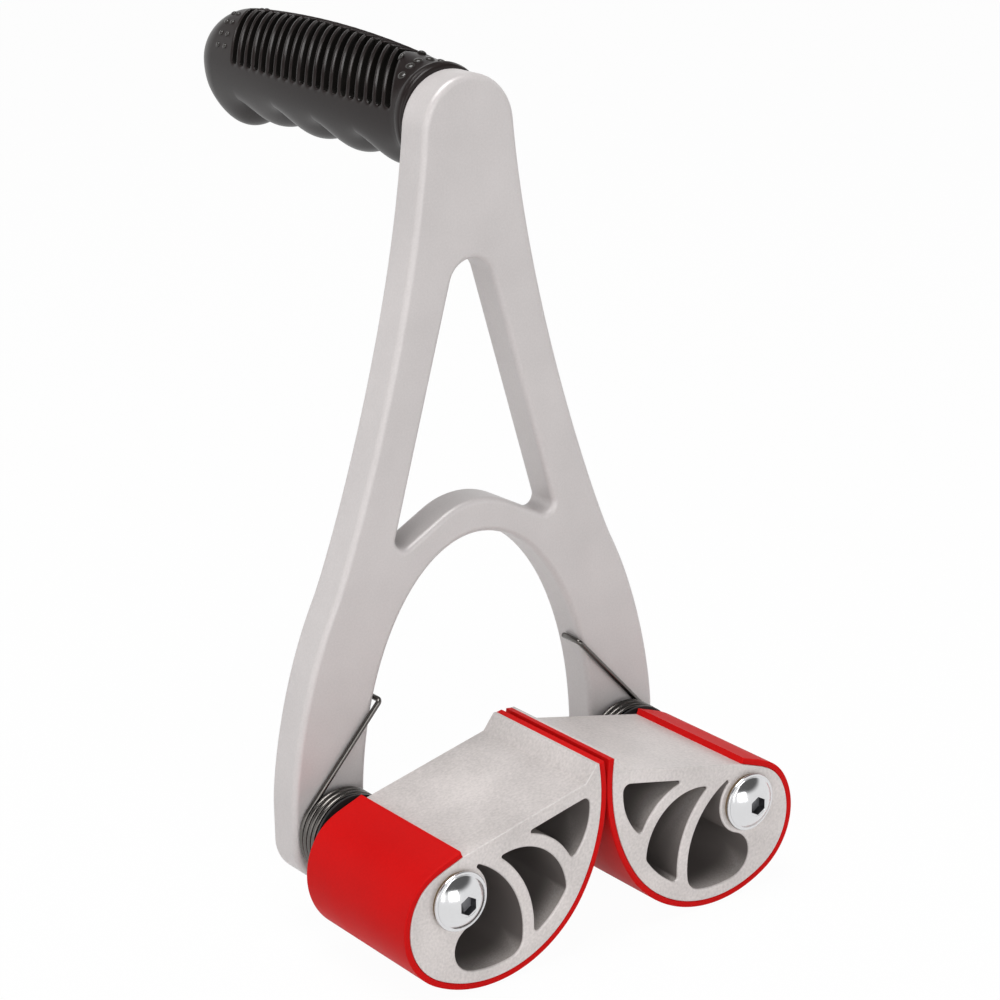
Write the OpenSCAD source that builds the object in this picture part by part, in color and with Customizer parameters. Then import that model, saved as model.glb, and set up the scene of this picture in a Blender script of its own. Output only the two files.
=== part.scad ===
// Panel carrier: an arched frame with a hand grip behind it and two sprung cams in front.
// X runs from the left cam to the right cam, Y from the cams to the grip, and Z up.
// The origin lies midway between the pivot axes, in the front face of the frame.

/* [Frame] */
// Thickness of the frame, front to back
frame_t = 14.6; // [12:0.2:20]
// Distance between the two pivot axes
pivot_span = 126; // [118:1:134]
// Height of the round head's centre above the pivot axes
head_z = 236.5; // [225:0.5:255]
// Radius of the frame's round head
head_r = 18.9; // [16:0.1:21.5]
// Width of each leg at its pivot
leg_w = 29.6; // [28.6:0.2:33]
// How far each leg is centred outside its pivot
leg_shift = 2; // [0:0.2:3]
// How far the round end of each leg is centred below its pivot
foot_drop = 4.5; // [0:0.5:8]
// Half width of the frame where its edge leans most
waist_w = 60.8; // [56:0.2:64]
// Height at which the frame's edge leans most
waist_z = 80; // [72:1:88]
// Lean of the frame's edge there, from upright
waist_lean = 27.3; // [20:0.1:34]
// Height of the arch's crest
arch_z = 94; // [84:0.5:98]
// Height at which the arch begins to curve inwards
arch_spring_z = 4; // [0:1:20]

/* [Window] */
// Height of the window's top
window_top = 192.2; // [180:0.1:203]
// Radius of the window's round top
window_top_r = 9; // [7.5:0.1:11]
// Lean of the window's sides, from upright
window_lean = 16.2; // [14:0.1:18]
// Height of the arch bar's crest, at the window's lower edge
bar_z = 106.6; // [102:0.2:118]
// Radius of the arch bar's crest
bar_r = 30; // [20:1:40]
// Fall of the arch bar's upper edge, from level
bar_slope = 28; // [20:1:34]
// Radius of the window's lower corners
window_corner_r = 3.5; // [1:0.5:6]

/* [Cams] */
// Length of each cam along its pivot
cam_len = 58.5; // [48:0.5:70]
// Space between the frame and each cam, which holds the spring
spring_gap = 13.6; // [13.2:0.2:18]
// Radius of the cam's nose, below the pivot
nose_r = 22.6; // [20:0.2:25]
// Radius of the cam's belly
belly_r = 43.5; // [40:0.5:48]
// Radius of the cam's gripping face
face_r = 65; // [58:0.5:72]
// Height of the face's most forward point above the pivot
face_z = 21.6; // [18:0.2:25]
// Direction at which the nose runs into the belly
belly_turn = 240; // [230:1:250]
// Direction at which the belly runs into the face
face_turn = 328.5; // [318:0.5:338]
// Height of the cam's tip above the pivot
tip_z = 32.1; // [29:0.1:36]
// Height of the lip at the tip above the top face
lip_h = 5.6; // [3:0.2:8]
// Width of the lip's flat top
lip_w = 1.2; // [0.8:0.1:3]
// Lean of the lip's inner side, from level
lip_slope = 52; // [40:1:70]
// Height at which the top face ends, above the pivot
shoulder_z = 14.6; // [13.4:0.2:17]
// Distance of that end from the pivot, towards the tip
shoulder_x = 2.6; // [0:0.2:6]
// Fall of the shoulder behind it, from level
shoulder_slope = 22; // [14:1:30]
// Thickness of the wall left round the pivot bore
boss_t = 5.2; // [4:0.2:6]
// Thickness of the ribs between the pockets
rib_t = 4.7; // [3.5:0.1:5.5]
// Thickness of the wall under the first pocket
belly_wall = 4.3; // [3:0.1:7]
// Thickness of the wall under the second pocket
heel_wall = 6; // [4:0.1:8]
// Thickness of the wall behind the gripping face
face_wall = 4.6; // [3:0.1:7]
// Thickness of the wall under the top face
top_wall = 5; // [3.5:0.1:7]

/* [Pads] */
// Thickness of the rubber pads
pad_t = 2.3; // [1.5:0.1:4]
// Gap between the two pads at rest
pad_gap = 0.3; // [0.2:0.1:2]

/* [Pivots] */
// Diameter of the pivot bolts
bolt_d = 10; // [8:0.5:12]
// Diameter of the collar under each bolt head
collar_d = 21; // [18:0.5:24]
// Thickness of that collar
collar_t = 1; // [0.6:0.1:2]
// Diameter of the domed head
dome_d = 19; // [16:0.5:20]
// Height of the dome above the collar
dome_h = 4.5; // [4:0.1:6]
// Width across the flats of the hexagon socket
socket_w = 6; // [4:0.5:8]
// Depth of the hexagon socket
socket_depth = 3.4; // [2:0.2:4]
// Outer diameter of the bushes in each cam
bush_d = 14; // [13.2:0.2:16]
// Diameter of the bushes' flanges
bush_flange_d = 20; // [17:0.5:21]
// Thickness of the bushes' flanges
bush_flange_t = 0.8; // [0.5:0.1:1.4]
// Length of each bush inside the cam
bush_len = 16; // [10:1:22]
// Depth of the recess behind each leg, which holds the lock nut
recess_depth = 8; // [6:0.5:9]
// Diameter of that recess
recess_d = 21.6; // [21:0.2:22.4]
// Diameter of the washers in the recesses
washer_d = 20; // [18:0.5:20.5]
// Thickness of those washers
washer_t = 2; // [1:0.1:3]
// Width across the flats of the lock nuts
nut_w = 17; // [16:0.5:18]
// Height of the hexagon part of the lock nuts
nut_h = 7; // [5:0.5:10]
// Height of the round collar of the lock nuts
nut_collar_h = 3; // [2:0.5:5]
// Length of bolt that stands out of the lock nut
bolt_tail = 2; // [0.5:0.5:5]

/* [Springs] */
// Diameter of the spring wire
wire_d = 2; // [1.2:0.1:2]
// Radius of the coil, to the middle of the wire
coil_r = 15; // [13:0.1:15.6]
// Whole turns in the coil, besides the part turn that joins its two legs
coil_turns = 3; // [2:1:3]
// Outer diameter of the sleeve inside the coil
sleeve_d = 21; // [16:0.5:23]
// Diameter of the sleeve's flange
flange_d = 31.6; // [26:0.2:33]
// Thickness of the sleeve's flange
flange_t = 1; // [0.6:0.1:1.4]
// Thickness of the thrust washer between the sleeve and the cam
thrust_t = 0.8; // [0.5:0.1:1.2]
// Diameter of the thrust washer
thrust_d = 24; // [20:0.5:26]
// Height at which the spring's long leg hooks round the frame
hook_z = 43; // [36:1:52]
// Length of that hook along the side of the leg
hook_len = 8; // [5:0.5:14]
// Length of the spring's short leg inside the cam's pocket
tail_len = 8; // [4:0.5:14]

/* [Handle] */
// Length of the grip
grip_len = 135.5; // [124:0.5:150]
// Height of the grip's axis above the round head's centre
grip_lift = 2.9; // [0:0.1:5]
// How much the grip rises towards its rear end
grip_rise = 3.8; // [0:0.1:5]
// Height of the grip's crown above its axis
grip_top_r = 20.8; // [18:0.1:23]
// Depth of the grip below its axis, at the fingers
grip_low_r = 20.3; // [18:0.1:23]
// Half width of the grip
grip_side_r = 19.5; // [17:0.1:22]
// Distance from the frame to the grip's fullest point
grip_crown_y = 72; // [55:1:85]
// Drop of the crown towards both ends of the grip
grip_crown_drop = 4.6; // [2:0.1:5.5]
// Length of the grip's rounded rear end
grip_end_len = 14.5; // [10:0.5:18]
// How much lower the grip reaches at its rear end
grip_heel = 4.2; // [2:0.1:7]
// Spacing of the finger bumps under the grip
finger_pitch = 25.4; // [23:0.1:28]
// Distance from the frame to the first cusp between the bumps
finger_first = 30.5; // [25:0.1:34]
// Height of the finger bumps
finger_depth = 4.4; // [2:0.1:5.5]
// How much the grip flares where it meets the frame
grip_flare = 2.2; // [0:0.1:3]
// Length of that flare
grip_flare_len = 8; // [4:0.5:14]
// Number of grooves across the top of the grip
grooves = 10; // [8:1:10]
// Spacing of the grooves
groove_pitch = 9.96; // [9.6:0.02:10.2]
// Distance from the frame to the first groove, at the side of the grip
groove_first = 9.3; // [9:0.1:10]
// Width of the grooves
groove_w = 3.2; // [2:0.1:4]
// Depth of the grooves
groove_depth = 2.5; // [1:0.1:3.5]
// How far back each groove runs on its way up to the crown
groove_run = 15.3; // [0:0.1:16]
// Height above the axis at which the grooves end
groove_end_z = 3; // [0:0.2:6]
// Diameter of the steel bar inside the grip
bar_d = 18; // [14:0.5:22]
// Thickness of the rubber behind the end of the bar
bar_cover = 9; // [6:0.5:14]
// Diameter of the stud that joins the bar to the frame
stud_d = 12; // [8:0.5:13]
// Depth of the stud in the frame
stud_in = 11; // [6:0.5:11.5]
// Depth of the stud in the bar
stud_out = 25; // [15:1:40]

/* [Hidden] */
$fn = 64;

// Clearances: pieces that turn on one another, end play, and fastened pieces
running_play = 0.05;
end_play = 0.3;
fixed_play = 0.05;
// How far a cutter runs past the face that it opens
cut_past = 1;

// Places along the pivots, from the frame forwards
pivot_x = pivot_span / 2;
cam_back_y = -spring_gap;
cam_front_y = cam_back_y - cam_len;
head_seat_y = cam_front_y - bush_flange_t - end_play;
thrust_front_y = cam_back_y + bush_flange_t + end_play;
sleeve_front_y = thrust_front_y + thrust_t;
flange_back_y = sleeve_front_y + flange_t;
// Places along the pivots, from the recesses backwards
recess_y = frame_t - recess_depth;
nut_y = recess_y + washer_t;
nut_top_y = nut_y + nut_h + nut_collar_h;
bolt_end_y = nut_top_y + bolt_tail;
// The lock nut's collar is narrower than its flats, and its insert lies below its rim
nut_collar_step = 1;
insert_sunk = 0.8;
insert_d = (bolt_d + nut_w) / 2;

// A direction in a plane, given its angle
function dir(a) = [cos(a), sin(a)];
function unit(v) = v / norm(v);
function lerp(a, b, t) = a + (b - a) * t;
function smooth_step(t) = let (c = min(max(t, 0), 1)) c * c * (3 - 2 * c);
function reversed(v) = [for (i = [len(v) - 1:-1:0]) v[i]];
function without_first(v) = [for (i = [1:len(v) - 1]) v[i]];
function mirrored(v) = [for (p = v) [-p[0], p[1]]];

// Points on an arc, from one angle to another
function arc(centre, r, a0, a1, steps) =
    [for (i = [0:steps]) centre + r * dir(lerp(a0, a1, i / steps))];

// Points on a curve that leaves one point and reaches another with given directions and pulls
function curve(p0, d0, pull0, p1, d1, pull1, steps) =
    let (c0 = p0 + d0 * pull0, c1 = p1 - d1 * pull1)
    [for (i = [0:steps])
        let (t = i / steps, s = 1 - t)
        s * s * s * p0 + 3 * s * s * t * c0 + 3 * s * t * t * c1 + t * t * t * p1];

// Points of the round that replaces the corner b between a and c
function corner(a, b, c, r, steps) =
    let (
        u = unit(a - b),
        v = unit(c - b),
        half = acos(u * v) / 2,
        centre = b + unit(u + v) * r / sin(half),
        from = b + u * r / tan(half) - centre,
        to = b + v * r / tan(half) - centre,
        a0 = atan2(from[1], from[0]),
        turn = atan2(from[0] * to[1] - from[1] * to[0], from * to)
    )
    arc(centre, r, a0, a0 + turn, steps);

// Frame outline: head, flared side, leg and half of the arch, then the same mirrored
head_lean = 5;
head_pull = 69.5;
waist_pull_up = 11.6;
waist_pull_down = 32.3;
leg_pull = 9.6;
leg_top_z = 8.5;
leg_x = pivot_x + leg_shift;
leg_r = leg_w / 2;
arch_w = leg_x - leg_r;
arch_h = arch_z - arch_spring_z;
head_steps = 12;
side_steps = 14;
foot_steps = 24;
arch_steps = 30;
function arch_half(z) =
    z < arch_spring_z ? arch_w : arch_w * sqrt(1 - pow((z - arch_spring_z) / arch_h, 2));
head_edge = [0, head_z] + head_r * dir(head_lean);
waist = [waist_w, waist_z];
waist_dir = dir(waist_lean - 90);
half_outline = concat(
    arc([0, head_z], head_r, 90, head_lean, head_steps),
    without_first(curve(head_edge, dir(head_lean - 90), head_pull,
        waist, waist_dir, waist_pull_up, side_steps)),
    without_first(curve(waist, waist_dir, waist_pull_down,
        [leg_x + leg_r, leg_top_z], dir(-90), leg_pull, side_steps)),
    arc([leg_x, -foot_drop], leg_r, 0, -180, foot_steps),
    [for (i = [0:arch_steps - 1])
        let (a = 90 * i / arch_steps)
        [arch_w * cos(a), arch_spring_z + arch_h * sin(a)]]
);
outline_end = [0, arch_z];
frame_outline = concat(
    half_outline,
    [outline_end],
    reversed(mirrored(without_first(half_outline)))
);

// Window outline: a round top, two straight sides and the arch bar's crest between two corners
window_peak = [0, window_top + window_top_r * (1 / sin(window_lean) - 1)];
bar_peak = [0, bar_z + bar_r * (1 / cos(bar_slope) - 1)];
window_foot_x = (window_peak[1] - bar_peak[1]) * tan(window_lean) / (1 - tan(bar_slope) * tan(window_lean));
window_foot = [window_foot_x, bar_peak[1] - window_foot_x * tan(bar_slope)];
window_foot_left = [-window_foot[0], window_foot[1]];
top_steps = 20;
corner_steps = 10;
crest_steps = 12;
window_outline = concat(
    corner(window_foot_left, window_peak, window_foot, window_top_r, top_steps),
    corner(window_peak, window_foot, bar_peak, window_corner_r, corner_steps),
    corner(window_foot, bar_peak, window_foot_left, bar_r, crest_steps),
    corner(bar_peak, window_foot_left, window_peak, window_corner_r, corner_steps)
);

// Cam outline, from the left pivot: shoulder, nose, belly and face run into one another
cam_reach = pivot_x - pad_gap / 2 - pad_t;
face_c = [cam_reach - face_r, face_z];
belly_c = face_c + (face_r - belly_r) * dir(face_turn);
nose_c = belly_c + (belly_r - nose_r) * dir(belly_turn);
nose_start = 150;
shoulder_pull = 9;
nose_pull = 8;
tip_angle = asin((tip_z - face_z) / face_r);
tip = face_c + face_r * dir(tip_angle);
lip_foot = [tip[0] - lip_w - lip_h / tan(lip_slope), tip_z - lip_h];
shoulder = [shoulder_x, shoulder_z];
shoulder_steps = 10;
nose_steps = 22;
belly_steps = 30;
face_steps = 16;
padded_edge = concat(
    curve(shoulder, dir(180 + shoulder_slope), shoulder_pull,
        nose_c + nose_r * dir(nose_start), dir(nose_start + 90), nose_pull, shoulder_steps),
    without_first(arc(nose_c, nose_r, nose_start, belly_turn, nose_steps)),
    without_first(arc(belly_c, belly_r, belly_turn, face_turn, belly_steps)),
    without_first(arc(face_c, face_r, face_turn - 360, tip_angle, face_steps))
);
cam_outline = concat(padded_edge, [tip - [lip_w, 0], lip_foot]);

// Pad outline: the padded edge of the cam and the same edge one pad thickness further out
function outward(v, i) =
    let (along = unit(v[min(i + 1, len(v) - 1)] - v[max(i - 1, 0)]))
    [along[1], -along[0]];
pad_edge = [for (i = [0:len(padded_edge) - 1]) padded_edge[i] + pad_t * outward(padded_edge, i)];
pad_outline = concat(padded_edge, reversed(pad_edge));

// Pockets of the cam. A wall is part of a circle: its centre, its radius, and 1 where the pocket
// lies inside the circle or -1 where it lies outside. A corner is the radius of the round between
// two walls, and 1 or -1 for the side of the line between their centres on which it lies.
function angle_of(p) = atan2(p[1], p[0]);
function meet(c1, r1, c2, r2, side) =
    let (d = norm(c2 - c1), u = (c2 - c1) / d, along = (r1 * r1 - r2 * r2 + d * d) / (2 * d))
    c1 + along * u + side * sqrt(r1 * r1 - along * along) * [-u[1], u[0]];
function round_centre(w, v, k) = meet(w[0], w[1] - w[2] * k[0], v[0], v[1] - v[2] * k[0], k[1]);
function turn_from(a0, a1, way) = way > 0 ? (a1 - a0 + 720) % 360 : -((a0 - a1 + 720) % 360);
function touch_angle(k, w) = angle_of(k - w[0]) + (w[2] > 0 ? 0 : 180);
wall_steps = 14;
round_steps = 6;
function pocket(walls, corners) =
    let (
        n = len(walls),
        centres = [for (i = [0:n - 1]) round_centre(walls[i], walls[(i + 1) % n], corners[i])]
    )
    [for (i = [0:n - 1])
        let (
            w = walls[i],
            from = angle_of(centres[(i + n - 1) % n] - w[0]),
            to = angle_of(centres[i] - w[0]),
            round_from = touch_angle(centres[i], w),
            round_to = touch_angle(centres[i], walls[(i + 1) % n]),
            bend = turn_from(round_from, round_to, 1)
        )
        each concat(
            arc(w[0], w[1], from, from + turn_from(from, to, w[2]), wall_steps),
            [for (j = [1:round_steps - 1])
                centres[i] + corners[i][0] * dir(round_from + bend * j / round_steps)]
        )];
boss_r = bush_d / 2 + boss_t;
// The rib between the first two pockets, and the one between the last two
spine_c = [-5.2, -18.8];
spine_r = 34.5;
web_c = [24, -10.5];
web_r = 23.9;
// The wall under the top face is nearly flat, and the one behind the gripping face bends more than the face
flat_r = 2000;
hollow_r = 23.1;
hollow_turn = -6;
top_normal = unit([shoulder[1] - lip_foot[1], lip_foot[0] - shoulder[0]]);
boss_wall = [[0, 0], boss_r, -1];
first_low_wall = [belly_c, belly_r - belly_wall, 1];
second_low_wall = [belly_c, belly_r - heel_wall, 1];
front_wall = [face_c + (face_r - face_wall - hollow_r) * dir(hollow_turn), hollow_r, 1];
high_wall = [(shoulder + lip_foot) / 2 - (flat_r + top_wall) * top_normal, flat_r, 1];
spine_near = [spine_c, spine_r - rib_t / 2, 1];
spine_far = [spine_c, spine_r + rib_t / 2, -1];
web_near = [web_c, web_r - rib_t / 2, 1];
web_far = [web_c, web_r + rib_t / 2, -1];
// Corner radii: the pointed upper ends, the narrow lower ends and the broad corners
point_r = 0.7;
narrow_r = 1.4;
first_broad_r = 6.5;
second_broad_r = 3;
third_broad_r = 2.5;
// The round end of the first pocket, under the boss
lobe = [8.6, -1];
boss_pocket = pocket([spine_near, boss_wall, first_low_wall], [[point_r, -1], lobe, [first_broad_r, 1]]);
mid_pocket = pocket([web_near, spine_far, second_low_wall],
    [[point_r, -1], [narrow_r, -1], [second_broad_r, 1]]);
tip_pocket = pocket([front_wall, high_wall, web_far], [[third_broad_r, 1], [point_r, -1], [narrow_r, -1]]);

// Spring route, from the left pivot: a short leg in the cam's pocket, the coil,
// and a long leg that crosses the frame's front and hooks round the side of the leg
wire_r = wire_d / 2;
wire_clear = wire_r + end_play;
coil_back_y = -wire_clear;
coil_front_y = flange_back_y + wire_clear;
coil_ring = 24;
bend_steps = 4;
tail_bend_r = 2.2;
tail_at = round_centre(boss_wall, first_low_wall, lobe);
hook_at = [pivot_x - arch_half(hook_z) + wire_clear, hook_z];
tail_turn = angle_of(tail_at) - acos(coil_r / norm(tail_at));
hook_turn = angle_of(hook_at) + acos(coil_r / norm(hook_at));
coil_sweep = 360 * (coil_turns + 1) + tail_turn - hook_turn;
coil_steps = round(coil_sweep / 360 * coil_ring);
tail_dir = dir(tail_turn - 90);
hook_dir = dir(hook_turn - 90);
function at(p, y) = [p[0], y, p[1]];
spring_route = concat(
    [at(tail_at, cam_back_y - tail_len)],
    [for (i = [0:bend_steps])
        let (a = 90 * i / bend_steps)
        at(tail_at + tail_dir * tail_bend_r * (1 - cos(a)), coil_front_y - tail_bend_r * (1 - sin(a)))],
    [for (i = [0:coil_steps])
        let (t = i / coil_steps)
        at(coil_r * dir(tail_turn - coil_sweep * t), lerp(coil_front_y, coil_back_y, t))],
    [for (i = [0:bend_steps])
        let (a = 90 * i / bend_steps)
        at(hook_at - hook_dir * wire_clear * (1 - sin(a)), coil_back_y + wire_clear * (1 - cos(a)))],
    [at(hook_at, hook_len)]
);

// The least gap between stretches of the wire that are at least half a turn apart
spring_gaps = [for (i = [0:len(spring_route) - 1])
    for (j = [i + coil_ring / 2:len(spring_route) - 1]) norm(spring_route[i] - spring_route[j]) - wire_d];
echo("least gap of each spring to itself", min(spring_gaps));

// A tube along a route: rings square to the route, each turned as little as possible from the last
tube_sides = 6;
function tube_along(v) =
    [for (i = [0:len(v) - 1]) unit(v[min(i + 1, len(v) - 1)] - v[max(i - 1, 0)])];
function tube_across(along) =
    [for (i = 0, n = [1, 0, 0]; i < len(along);
        i = i + 1, n = i < len(along) ? unit(n - (n * along[i]) * along[i]) : n) n];
module tube(v, r) {
    along = tube_along(v);
    across = tube_across(along);
    points = [for (i = [0:len(v) - 1]) for (k = [0:tube_sides - 1])
        let (a = 360 * k / tube_sides)
        v[i] + r * (cos(a) * across[i] + sin(a) * cross(along[i], across[i]))];
    skin(points, len(v), tube_sides);
}

// A closed skin over rings of points that all have as many points
module skin(points, rings, sides) {
    first_cap = [for (k = [1:sides - 2]) [0, k, k + 1]];
    last = (rings - 1) * sides;
    last_cap = [for (k = [1:sides - 2]) [last, last + k + 1, last + k]];
    walls = [for (i = [0:rings - 2]) for (k = [0:sides - 1])
        let (a = i * sides + k, b = i * sides + (k + 1) % sides)
        each [[a, a + sides, b], [b, a + sides, b + sides]]];
    polyhedron(points, concat(first_cap, walls, last_cap));
}

// Grip rings: distances from the frame at the side of the grip, at the grooves and over the rear end
grip_sides = 28;
grip_end_rings = 6;
grip_end_scale = 0.1;
grip_end_shape = 0.62;
grip_straight = grip_len - grip_end_len;
heel_start = 89;
// How quickly the finger bumps fade up the sides
finger_fade = 3;
grip_z = head_z + grip_lift;
groove_edge = 0.5;
groove_half = groove_w / 2;
groove_floor = groove_half - groove_edge;
groove_at = [for (i = [0:grooves - 1]) groove_first + groove_pitch * i];
// The grooves' run builds up in front of the first one and falls away some pitches behind the last one
run_past = 0.7;
run_full = groove_first - groove_half - groove_edge;
run_falls = groove_at[grooves - 1] + run_past * groove_pitch;
grip_stations = concat(
    [0, run_full / 3, 2 * run_full / 3, run_full],
    [for (w = groove_at)
        each [w - groove_half, w - groove_floor, w + groove_floor, w + groove_half, w + groove_pitch / 2]],
    [run_falls, (run_falls + grip_straight) / 2, grip_straight],
    [for (i = [1:grip_end_rings]) grip_straight + grip_end_len * sin(90 * i / grip_end_rings)]
);
// How far back a ring runs at an angle, and how deep it is cut there
function ring_run(s, a) = sin(a) <= 0 ? 0 : groove_run * (1 - abs(cos(a)))
    * min(1, s / run_full, (grip_len - s) / (grip_len - run_falls));
function ring_cut(s) = max([for (w = groove_at)
    groove_depth * min(1, max(0, (groove_half - abs(s - w)) / groove_edge))]);
// Scale of the grip at a distance from the frame: its rear end is round
function grip_scale(u) =
    let (t = min(1, max(0, (u - grip_straight) / grip_end_len)))
    lerp(grip_end_scale, 1, pow(1 - t * t, grip_end_shape / 2));
function grip_taper(u) = grip_crown_drop * pow((u - grip_crown_y) / (grip_len / 2), 2);
function grip_flared(u) = grip_flare * pow(max(0, 1 - u / grip_flare_len), 2);
function grip_up(u) = grip_top_r - grip_taper(u) + grip_flared(u);
function grip_side(u) = grip_side_r - grip_taper(u) / 2 + grip_flared(u) / 2;
function grip_down(u, a) = grip_low_r
    + grip_heel * smooth_step((u - heel_start) / (grip_straight - heel_start))
    - finger_depth * (1 - abs(sin(180 * (u - finger_first) / finger_pitch))) * pow(abs(sin(a)), finger_fade)
    + grip_flared(u);
function grip_point(s, a) =
    let (
        u = s + ring_run(s, a),
        x = grip_scale(u) * grip_side(u) * cos(a),
        z = grip_scale(u) * (sin(a) > 0 ? grip_up(u) : grip_down(u, a)) * sin(a),
        left = z > groove_end_z ? 1 - ring_cut(s) / norm([x, z]) : 1
    )
    [x * left, frame_t + u, grip_z + grip_rise * u / grip_len + z * left];
grip_points = [for (s = grip_stations) for (k = [0:grip_sides - 1]) grip_point(s, -360 * k / grip_sides)];

// A round bar along Y
module rod(y0, y1, d) {
    translate([0, y1, 0])
    rotate([90, 0, 0])
    cylinder(h = y1 - y0, d = d);
}

// A ring along Y
module ring(y0, y1, d_out, d_in) {
    difference() {
        rod(y0, y1, d_out);
        rod(y0 - cut_past, y1 + cut_past, d_in);
    }
}

// An outline in X and Z, drawn out along Y
module slab(y0, y1) {
    translate([0, y1, 0])
    rotate([90, 0, 0])
    linear_extrude(height = y1 - y0)
    children();
}

// A hexagon along Y, given its width across the flats
module hexagon(y0, y1, w) {
    translate([0, y1, 0])
    rotate([90, 0, 0])
    cylinder(h = y1 - y0, d = w / cos(30), $fn = 6);
}

// What is drawn at the left pivot, on either side
module at_left() {
    translate([-pivot_x, 0, 0])
    children();
}
module at_right() {
    mirror([1, 0, 0])
    at_left()
    children();
}

module frame() {
    color("silver")
    difference() {
        slab(0, frame_t) difference() {
            polygon(frame_outline);
            polygon(window_outline);
        }
        for (side = [-1, 1])
            translate([side * pivot_x, 0, 0]) {
                rod(-cut_past, frame_t + cut_past, bolt_d + 2 * fixed_play);
                rod(recess_y, frame_t + cut_past, recess_d);
            }
        translate([0, 0, grip_z])
        rod(frame_t - stud_in, frame_t + cut_past, stud_d + 2 * fixed_play);
    }
}

module handle_stud() {
    color("gray")
    translate([0, 0, grip_z])
    rod(frame_t - stud_in, frame_t + stud_out, stud_d);
}

module handle_bar() {
    color("gray")
    translate([0, 0, grip_z])
    difference() {
        rod(frame_t, frame_t + grip_len - bar_cover, bar_d);
        rod(frame_t - cut_past, frame_t + stud_out, stud_d + 2 * fixed_play);
    }
}

module handle_grip() {
    color("dimgray")
    difference() {
        skin(grip_points, len(grip_stations), grip_sides);
        translate([0, 0, grip_z])
        rod(frame_t - cut_past, frame_t + grip_len - bar_cover, bar_d);
    }
}

module pivot_bolt() {
    dome_y = head_seat_y - collar_t;
    dome_r = (dome_d * dome_d / 4 + dome_h * dome_h) / (2 * dome_h);
    color("gainsboro")
    difference() {
        union() {
            rod(head_seat_y, bolt_end_y, bolt_d);
            rod(dome_y, head_seat_y, collar_d);
            intersection() {
                translate([0, dome_y - dome_h + dome_r, 0])
                sphere(r = dome_r);
                rod(dome_y - dome_h, dome_y, dome_d);
            }
        }
        hexagon(dome_y - dome_h - cut_past, dome_y - dome_h + socket_depth, socket_w);
    }
}

module lock_nut() {
    color("lightgray")
    difference() {
        union() {
            hexagon(nut_y, nut_y + nut_h, nut_w);
            rod(nut_y + nut_h, nut_top_y, nut_w - nut_collar_step);
        }
        rod(nut_y - cut_past, nut_top_y + cut_past, bolt_d + 2 * fixed_play);
        rod(nut_y + nut_h, nut_top_y + cut_past, insert_d);
    }
}

module nut_insert() {
    color("steelblue")
    ring(nut_y + nut_h, nut_top_y - insert_sunk, insert_d, bolt_d + 2 * fixed_play);
}

module rear_washer() {
    color("lightgray")
    ring(recess_y, nut_y, washer_d, bolt_d + 2 * fixed_play);
}

module spring_sleeve() {
    color("black")
    difference() {
        union() {
            rod(sleeve_front_y, 0, sleeve_d);
            rod(sleeve_front_y, flange_back_y, flange_d);
        }
        rod(sleeve_front_y - cut_past, cut_past, bolt_d + 2 * fixed_play);
    }
}

module thrust_washer() {
    color("dimgray")
    ring(thrust_front_y, sleeve_front_y, thrust_d, bolt_d + 2 * fixed_play);
}

module torsion_spring() {
    color("darkslategray")
    tube(spring_route, wire_r);
}

module cam() {
    color("lightsteelblue")
    difference() {
        slab(cam_front_y, cam_back_y) difference() {
            polygon(cam_outline);
            polygon(boss_pocket);
            polygon(mid_pocket);
            polygon(tip_pocket);
        }
        rod(cam_front_y - cut_past, cam_back_y + cut_past, bush_d);
    }
}

module pad() {
    color("red")
    slab(cam_front_y, cam_back_y)
    polygon(pad_outline);
}

module front_bush() {
    color("darkgoldenrod")
    difference() {
        union() {
            rod(cam_front_y, cam_front_y + bush_len, bush_d);
            rod(cam_front_y - bush_flange_t, cam_front_y, bush_flange_d);
        }
        rod(cam_front_y - bush_flange_t - cut_past, cam_front_y + bush_len + cut_past,
            bolt_d + 2 * running_play);
    }
}

module rear_bush() {
    color("darkgoldenrod")
    difference() {
        union() {
            rod(cam_back_y - bush_len, cam_back_y, bush_d);
            rod(cam_back_y, cam_back_y + bush_flange_t, bush_flange_d);
        }
        rod(cam_back_y - bush_len - cut_past, cam_back_y + bush_flange_t + cut_past,
            bolt_d + 2 * running_play);
    }
}

frame();
handle_stud();
handle_bar();
handle_grip();
at_left() pivot_bolt();  // left_pivot_bolt
at_left() lock_nut();  // left_lock_nut
at_left() nut_insert();  // left_nut_insert
at_left() rear_washer();  // left_rear_washer
at_left() spring_sleeve();  // left_spring_sleeve
at_left() thrust_washer();  // left_thrust_washer
at_left() torsion_spring();  // left_torsion_spring
at_left() cam();  // left_cam
at_left() pad();  // left_pad
at_left() front_bush();  // left_front_bush
at_left() rear_bush();  // left_rear_bush
at_right() pivot_bolt();  // right_pivot_bolt
at_right() lock_nut();  // right_lock_nut
at_right() nut_insert();  // right_nut_insert
at_right() rear_washer();  // right_rear_washer
at_right() spring_sleeve();  // right_spring_sleeve
at_right() thrust_washer();  // right_thrust_washer
at_right() torsion_spring();  // right_torsion_spring
at_right() cam();  // right_cam
at_right() pad();  // right_pad
at_right() front_bush();  // right_front_bush
at_right() rear_bush();  // right_rear_bush
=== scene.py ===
# Panel carrier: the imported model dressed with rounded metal, rubber and wire, lit on a pale floor.
# The model's own frame: X left cam to right cam, Y cams to grip, Z up. Sizes are in millimetres,
# and MM turns them into the metres of the scene.
import math
import bpy
import bmesh
from mathutils import Matrix, Vector


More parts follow.
